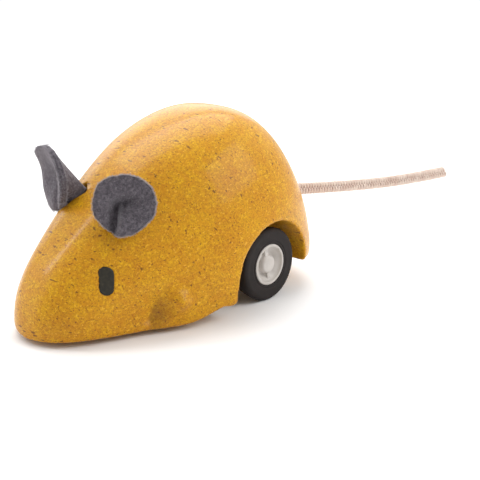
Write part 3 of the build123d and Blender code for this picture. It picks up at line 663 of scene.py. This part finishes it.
def ear_slot(side):
    """An ear slot's mouth, then its long way, its short way and the way out of the head."""
    mirror = np.array((1, side, 1))
    run, out = unit(EAR_SLOT_RUN * mirror), unit(EAR_SLOT_OUT * mirror)
    return EAR_SLOT_POINT * mirror, run, np.cross(out, run), out


def close_slot_ends(shell):
    """Adds wood at the inner end of each ear slot, where the felt doesn't reach."""
    for side in (1, -1):
        mouth, *ways = ear_slot(side)
        points, faces = box_points((-4.7, -2.1, -4.8), (-2.95, 2.1, -0.22))
        merge_in(shell, mouth + points @ np.stack(ways), faces)


def moulded_body():
    """The CAD body with its arch edges eased and the paws modelled into its sides."""
    shell = welded_copy("body_shell", "moulded_body")
    close_slot_ends(shell)
    remesh = shell.modifiers.new("even", "REMESH")
    remesh.mode = "VOXEL"
    remesh.voxel_size = BODY_VOXEL * MM
    apply_modifiers(shell)
    x, y, z = vertex_places(shell.data).T
    from_edge = np.abs(np.hypot(x - ARCH_X, z - ARCH_Z) - ARCH_RADIUS)
    near = smooth_step(3.2, 2.0, from_edge) * smooth_step(16.0, 18.0, np.abs(y))
    group = shell.vertex_groups.new(name="arch_edges")
    for index in np.flatnonzero(near > 0.01):
        group.add([int(index)], float(near[index]), "REPLACE")
    ease = shell.modifiers.new("ease", "SMOOTH")
    ease.iterations = EDGE_PASSES
    ease.vertex_group = "arch_edges"
    settle = shell.modifiers.new("settle", "SMOOTH")
    settle.iterations = 2
    apply_modifiers(shell)
    mesh = shell.data
    points = vertex_places(mesh)
    points[:, 1] += np.sign(points[:, 1]) * paw_relief(points)
    points[:, 2] -= arch_foot(points)
    mesh.vertices.foreach_set("co", (points * MM).ravel())
    mesh.update()
    mesh.shade_smooth()
    show(shell, "mouse", MATERIALS["composite_wood"], "composite_wood", "body_shell")


moulded_body()

# ------------------------------------------------------------------ felt ears
EAR_RADIUS, FELT = 7.8, 1.9
EAR_NECK_RISE, EAR_NECK_LENGTH, EAR_NECK_WIDTH = 0.7, 6.2, 3.2
EAR_NECK_SHIFT = 0.4  # the neck stands towards the outer end of its slot
LEFT_EAR = (np.array((24.7, 13.8, 31.7)), np.array((0.72, 0.64, 0.22)))  # middle, facing
RIGHT_EAR = (np.array((26.2, -10.9, 35.2)), np.array((0.954, -0.291, -0.09)))
EAR_SPOKES = 180
RAGGED = ((0.10, 2), (0.07, 3), (0.05, 7), (0.045, 13), (0.035, 23), (0.03, 37))  # size, waves round the rim
HAIRS = 3400


def left_felt(x, y):
    """How far the left ear's face stands in front of its flat plane, where it is pinched into a fold.

    x is towards the outer side of the mouse and y is up; all in millimetres."""
    aside = x - (-2.1 + 0.09 * y)
    reach = np.where(aside < 0, 1.6, 1.0)
    shallow = 1 - 0.55 * smooth_step(0.62, 0.98, np.hypot(x, y) / EAR_RADIUS)
    fold = -3.7 * shallow * np.exp(-((aside / reach) ** 2)) * smooth_step(1.6, -1.8, y)
    lobe = 0.9 * bell(aside, 2.8, 1.8) * bell(y, -3.6, 2.6)
    curl = -2.1 * bell(y, 0.7 + 0.25 * x, 1.3) * smooth_step(-4.0, -1.8, x) * smooth_step(5.2, -1.0, x)
    return fold + lobe + curl


def right_felt(x, y):
    """The same for the right ear, which is cupped more evenly: its top leans forward, its outer edge back."""
    share = np.hypot(x, y) / EAR_RADIUS
    angle = np.degrees(np.arctan2(y, x))
    lean = 0.75 * bell(angle, 52, 34) - 1.1 * bell(angle, 0, 32)
    fold = -1.0 * bell(x, -2.0, 1.4) * smooth_step(0.5, -4.0, y)
    return lean * share**3 + fold


class FeltEar:
    """A thick felt disc, pinched from its middle to its lower edge and drawn back into a slot in the head."""

    def __init__(self, side, place, shape, outline, hollow):
        self.side, self.shape, self.hollow = side, shape, hollow
        self.centre, self.facing = place[0], unit(place[1])
        self.rise = unit(np.array((0, 0, 1.0)) - self.facing[2] * self.facing)
        self.right = np.cross(self.rise, self.facing)
        self.rng = np.random.default_rng(11 if side > 0 else 12)
        self.angles = np.linspace(0, 2 * math.pi, EAR_SPOKES, endpoint=False)
        ragged = np.zeros(EAR_SPOKES)
        for size, turns in RAGGED:
            ragged += size * np.sin(turns * self.angles + self.rng.uniform(0, 2 * math.pi))
        outward = np.degrees(np.arctan2(np.sin(self.angles), side * np.cos(self.angles)))
        self.edge = (EAR_RADIUS - 0.1) * outline(outward) + ragged
        self.thinning = 1 - 0.25 * bell(outward, 95, 45)

    def depth(self, x, y):
        """How far the face stands in front of the ear's flat plane."""
        share = np.hypot(x, y) / EAR_RADIUS
        dish = -self.hollow * (1 - smooth_step(0.0, 0.95, share))
        lip = 0.35 * smooth_step(0.75, 1.0, share) * smooth_step(-1.5, 8.0, y)
        return dish + lip + self.shape(self.side * x, y)

    def ring(self, share, behind, bulge=0.0):
        """A round of points at a share of the edge's radius, some way behind the face."""
        radius = self.edge * share + bulge
        x, y = radius * np.cos(self.angles), radius * np.sin(self.angles)
        away = self.depth(x, y) + FELT / 2 - behind * self.thinning
        return self.centre + x[:, None] * self.right + y[:, None] * self.rise + away[:, None] * self.facing

    def disc(self):
        """Rings over the face, round the rim and on to the back."""
        rings = [self.ring(share, 0.0) for share in np.linspace(0.012, 0.945, 46)]
        for lean in np.linspace(0.1, math.pi - 0.1, 10):
            bulge = 0.04 * EAR_RADIUS * math.sin(lean) ** 0.5
            rings.append(self.ring(0.96, FELT / 2 * (1 - math.cos(lean)), bulge))
        return rings + [self.ring(share, FELT) for share in (0.945, 0.92, 0.89)]

    def cone(self, last):
        """Rings from the back's last one to the neck, and down into the slot."""
        mouth, run, across, out = ear_slot(self.side)
        neck = mouth + EAR_NECK_RISE * out + EAR_NECK_SHIFT * run
        spokes = last - last.mean(axis=0)
        along, aside = spokes @ run, spokes @ across
        size = np.hypot(along, aside)
        neck_ring = (
            neck
            + np.outer(EAR_NECK_LENGTH / 2 * along / size, run)
            + np.outer(EAR_NECK_WIDTH / 2 * aside / size, across)
        )
        inward = unit(neck - self.centre)
        rings = []
        for share in np.linspace(0.06, 1.0, 14):
            swell = 0.14 * math.sin(math.pi * share)
            rings.append(last * (1 - share) + neck_ring * share - swell * inward)
        for drop in (0.4, 1.2, EAR_NECK_RISE + EAR_SLOT_DEPTH):
            rings.append(neck_ring - drop * out)
        return rings

    def felt(self):
        """Points and faces of the whole felt."""
        disc = self.disc()
        rings = disc + self.cone(disc[-1])
        points = np.concatenate(rings)
        points += self.rng.normal(size=points.shape) * 0.02
        faces = [tuple(range(EAR_SPOKES))]
        for k in range(len(rings) - 1):
            for j in range(EAR_SPOKES):
                a, b = k * EAR_SPOKES + j, k * EAR_SPOKES + (j + 1) % EAR_SPOKES
                faces.append((a, a + EAR_SPOKES, b + EAR_SPOKES, b))
        faces.append(tuple(range(len(points) - EAR_SPOKES, len(points)))[::-1])
        return points, faces

    def hair(self, on_rim):
        """A short hair that stands off the rim, or lies on the face."""
        rng = self.rng
        spoke = rng.integers(0, EAR_SPOKES)
        turn = self.angles[spoke]
        share = rng.uniform(0.985, 1.0) if on_rim else math.sqrt(rng.random()) * 0.93
        radius = self.edge[spoke] * share
        x, y = radius * math.cos(turn), radius * math.sin(turn)
        behind = rng.choice((0.12, 0.12, 1.0, FELT - 0.12)) + 0.12 * rng.normal() if on_rim else 0.03
        away = float(self.depth(x, y)) + FELT / 2 - behind
        start = self.centre + x * self.right + y * self.rise + away * self.facing
        scatter = rng.normal(size=3)
        if on_rim:
            direction = self.right * math.cos(turn) + self.rise * math.sin(turn)
            return fibre(start, unit(direction + 0.75 * scatter), rng.uniform(0.15, 0.42), 0.042, rng)
        flat = scatter - (scatter @ self.facing) * self.facing
        return fibre(start, unit(flat + 0.15 * self.facing), rng.uniform(0.15, 0.35), 0.03, rng)

    def fuzz(self):
        """Points and faces of all the hairs, one in eight of them on the face."""
        return join_shells([self.hair(number % 8 != 0) for number in range(HAIRS)])


def felt_ear(name, ear):
    """Makes an ear's felt and fuzz."""
    points, faces = ear.felt()
    piece = mesh_piece(f"{name}_felt_ear", points * MM, faces)
    show(piece, "mouse", MATERIALS["felt"], "felt", f"{name}_ear")
    points, faces = ear.fuzz()
    fuzz = mesh_piece(f"{name}_ear_fuzz", points * MM, faces)
    show(fuzz, "mouse", MATERIALS["felt_fuzz"], "felt")


def left_outline(angle):
    """The blank's radius against the disc's, by the direction in degrees from the mouse's outer side.

    The fold draws the lower edge in on each side of a short tip, and the top is slightly flattened."""
    tip = 0.05 * bell(angle, -99, 13)
    drawn_in = -0.055 * bell(angle, -136, 20) - 0.065 * bell(angle, -46, 26)
    top = -0.05 * bell(angle, 88, 24) + 0.06 * bell(angle, 142, 22) + 0.025 * bell(angle, 22, 22)
    return 0.915 * (1 + tip + drawn_in + top)


def right_outline(angle):
    """The same for the right ear, whose lower edge hangs further down."""
    return 1 + 0.20 * bell(angle, -84, 32) - 0.03 * bell(angle, 10, 30) - 0.05 * bell(angle, 72, 24)


felt_ear("left", FeltEar(1, LEFT_EAR, left_felt, left_outline, 1.1))
felt_ear("right", FeltEar(-1, RIGHT_EAR, right_felt, right_outline, 1.9))


# ------------------------------------------------------------------ eyes
LACQUER = 0.16  # how far an eye stands out of the head
EYE_VOXEL = 0.12

for eye in ("left_eye", "right_eye"):
    inlay = soften(welded_copy(eye, f"{eye}_inlay"), EYE_VOXEL, 4, LACQUER)
    show(inlay, "mouse", MATERIALS["eye_paint"], "eye_paint", eye)

# ------------------------------------------------------------------ rear wheels
AXLE_X, TYRE_RADIUS = -15.6, 9.7
TYRE_INNER_Y, TYRE_OUTER_Y = 14.9, 22.9
HUB_RADIUS, HUB_FACE_Y = 5.4, 22.8
HUB_VOXEL = 0.11


def lathed(name, side, profile, segments):
    """A closed piece turned about the rear axle, from (radius, distance from the middle plane) points."""
    profile = np.array(profile, dtype=float)
    angles = np.linspace(0, 2 * math.pi, segments, endpoint=False)
    radius, y = profile[:, 0], profile[:, 1]
    points = np.stack(
        [
            AXLE_X + radius[:, None] * np.cos(angles),
            side * np.repeat(y[:, None], segments, axis=1),
            TYRE_RADIUS + radius[:, None] * np.sin(angles),
        ],
        axis=-1,
    ).reshape(-1, 3)
    faces = []
    rows = len(profile)
    for row in range(rows):
        for k in range(segments):
            a, b = row * segments + k, row * segments + (k + 1) % segments
            c, d = (row + 1) % rows * segments + (k + 1) % segments, (row + 1) % rows * segments + k
            faces.append((a, b, c, d) if side > 0 else (d, c, b, a))
    return mesh_piece(name, points * MM, faces)


def rounded(profile, radius, steps=5):
    """The closed profile with each corner replaced by a short arc-like curve."""
    profile = [np.array(point, dtype=float) for point in profile]
    made = []
    for before, corner, after in zip(profile[-1:] + profile[:-1], profile, profile[1:] + profile[:1]):
        to_before, to_after = before - corner, after - corner
        reach = min(radius, 0.45 * np.linalg.norm(to_before), 0.45 * np.linalg.norm(to_after))
        start, end = corner + unit(to_before) * reach, corner + unit(to_after) * reach
        for t in np.linspace(0, 1, steps):
            made.append((1 - t) ** 2 * start + 2 * t * (1 - t) * corner + t**2 * end)
    return made


def tyre(name, side):
    """A solid rubber tyre: a bead ring, a slightly hollow side wall, and a tread that falls away inward."""
    middle = (TYRE_INNER_Y + TYRE_OUTER_Y) / 2
    profile = [
        (HUB_RADIUS - 0.05, TYRE_INNER_Y + 0.3),
        (HUB_RADIUS + 0.5, TYRE_INNER_Y),
        (TYRE_RADIUS - 2.4, TYRE_INNER_Y),
        (TYRE_RADIUS - 1.6, TYRE_INNER_Y + 0.4),
        (TYRE_RADIUS - 1.15, TYRE_INNER_Y + 1.4),
        (TYRE_RADIUS - 0.52, middle - 0.18),
        (TYRE_RADIUS - 0.45, middle),
        (TYRE_RADIUS - 0.45, middle + 0.18),
        (TYRE_RADIUS, TYRE_OUTER_Y - 1.4),
        (TYRE_RADIUS - 0.28, TYRE_OUTER_Y - 0.42),
        (TYRE_RADIUS - 1.1, TYRE_OUTER_Y - 0.04),
        (TYRE_RADIUS - 2.1, TYRE_OUTER_Y - 0.12),
        (HUB_RADIUS + 0.95, TYRE_OUTER_Y - 0.08),
        (HUB_RADIUS + 0.75, TYRE_OUTER_Y - 0.26),
        (HUB_RADIUS + 0.55, TYRE_OUTER_Y - 0.08),
        (HUB_RADIUS + 0.12, TYRE_OUTER_Y - 0.06),
        (HUB_RADIUS - 0.05, TYRE_OUTER_Y - 0.4),
    ]
    piece = lathed(f"{name}_moulding", side, rounded(profile, 0.5), 160)
    show(piece, "rear_axle", MATERIALS["tyre_rubber"], "tyre_rubber", name)


def hub(name, side):
    """A moulded wheel centre: a bright lip, a dished web, a stout boss and two ribs."""
    profile = [
        (0.02, 13.9),
        (2.4, 13.9),
        (2.4, 16.2),
        (HUB_RADIUS, 16.2),
        (HUB_RADIUS, HUB_FACE_Y - 0.1),
        (HUB_RADIUS - 0.2, HUB_FACE_Y + 0.05),
        (4.72, HUB_FACE_Y + 0.02),
        (4.58, HUB_FACE_Y - 0.35),
        (4.30, HUB_FACE_Y - 0.75),
        (3.1, 21.05),
        (2.55, 21.0),
        (2.38, HUB_FACE_Y - 0.75),
        (2.05, HUB_FACE_Y - 0.38),
        (0.02, HUB_FACE_Y - 0.34),
    ]
    piece = lathed(f"{name}_moulding", side, rounded(profile, 0.18, 4), 120)
    ribs = []
    for way in (1, -1):
        low, high = sorted((way * 2.0, way * 4.5))
        ribs.append(box_points((-0.6, 20.4, low), (0.6, HUB_FACE_Y - 0.85, high)))
    points, faces = join_shells(ribs)
    lean = math.radians(9)  # of the ribs from upright
    points[:, 0], points[:, 2] = (
        AXLE_X + points[:, 0] * math.cos(lean) + points[:, 2] * math.sin(lean),
        TYRE_RADIUS - points[:, 0] * math.sin(lean) + points[:, 2] * math.cos(lean),
    )
    points[:, 1] *= side
    merge_in(piece, points, faces)
    soften(piece, HUB_VOXEL, 2)
    show(piece, "rear_axle", MATERIALS["white_plastic"], "white_plastic", name)


for wheel_side, wheel_name in ((1, "left"), (-1, "right")):
    tyre(f"{wheel_name}_rear_tyre", wheel_side)
    hub(f"{wheel_name}_rear_hub", wheel_side)


# ------------------------------------------------------------------ floor and light
# in metres and watts
FLOOR_RADIUS = 0.42
LIT_MIDDLE = Vector((0.0, 0.0, 0.02))
LIGHT_DISTANCE = 0.60
AMBIENT, BACKDROP = 0.48, 1.05


def add_floor():
    """A plain pale disc; past its edge the studio's white air shows."""
    turns = np.linspace(0, 2 * math.pi, 96, endpoint=False)
    rim = [(FLOOR_RADIUS * math.cos(turn), FLOOR_RADIUS * math.sin(turn), 0.0) for turn in turns]
    floor = mesh_piece("floor", rim, [tuple(range(len(rim)))], False)
    s = Shader("floor_paper")
    s.colour(s.ramp(s.noise(3, 2), (0.3, (0.93, 0.93, 0.93)), (0.7, (0.95, 0.95, 0.95))))
    s.roughness(s.noise(8, 2), 0.85, 0.95)
    floor.data.materials.append(s.material)


def add_soft_box(name, heading, size, power):
    """A rectangular light that faces the mouse from the heading."""
    light = bpy.data.lights.new(name, "AREA")
    light.shape = "RECTANGLE"
    light.size, light.size_y = size
    light.energy = power
    away = Vector(heading).normalized()
    holder = bpy.data.objects.new(name, light)
    holder.location = LIT_MIDDLE + away * LIGHT_DISTANCE
    holder.rotation_euler = (-away).to_track_quat("-Z", "Y").to_euler()
    bpy.context.scene.collection.objects.link(holder)


def add_world():
    """White studio air: bright where it is seen or mirrored, gentler as light."""
    world = bpy.data.worlds.new("studio")
    world.use_nodes = True
    tree = world.node_tree
    ambient = tree.nodes["Background"]
    ambient.inputs["Color"].default_value = (1, 1, 1, 1)
    ambient.inputs["Strength"].default_value = AMBIENT
    backdrop = tree.nodes.new("ShaderNodeBackground")
    backdrop.inputs["Color"].default_value = (1, 1, 1, 1)
    backdrop.inputs["Strength"].default_value = BACKDROP
    path = tree.nodes.new("ShaderNodeLightPath")
    either = tree.nodes.new("ShaderNodeMath")
    either.operation = "MAXIMUM"
    mix = tree.nodes.new("ShaderNodeMixShader")
    tree.links.new(path.outputs["Is Camera Ray"], either.inputs[0])
    tree.links.new(path.outputs["Is Glossy Ray"], either.inputs[1])
    tree.links.new(either.outputs[0], mix.inputs[0])
    tree.links.new(ambient.outputs[0], mix.inputs[1])
    tree.links.new(backdrop.outputs[0], mix.inputs[2])
    tree.links.new(mix.outputs[0], tree.nodes["World Output"].inputs["Surface"])
    bpy.context.scene.world = world


def add_lights():
    """A large box overhead, one over the mouse's left side, and weaker ones round the rest of it."""
    for name, heading, size, power in (
        ("top_box", (-0.30, -0.40, 0.95), (0.60, 0.40), 3.3),
        ("side_box", (-0.40, 0.70, 0.60), (0.36, 0.36), 1.85),
        ("rear_box", (-0.80, 0.10, 0.60), (0.40, 0.40), 0.35),
        ("right_box", (0.62, -0.72, 0.25), (0.40, 0.40), 0.6),
        ("nose_box", (0.46, -0.62, 0.70), (0.05, 0.30), 0.8),
        ("back_box", (-0.48, -0.76, 0.40), (0.80, 0.23), 1.0),
    ):
        add_soft_box(name, heading, size, power)


add_floor()
add_world()
add_lights()
bpy.context.scene.view_settings.view_transform = "Standard"
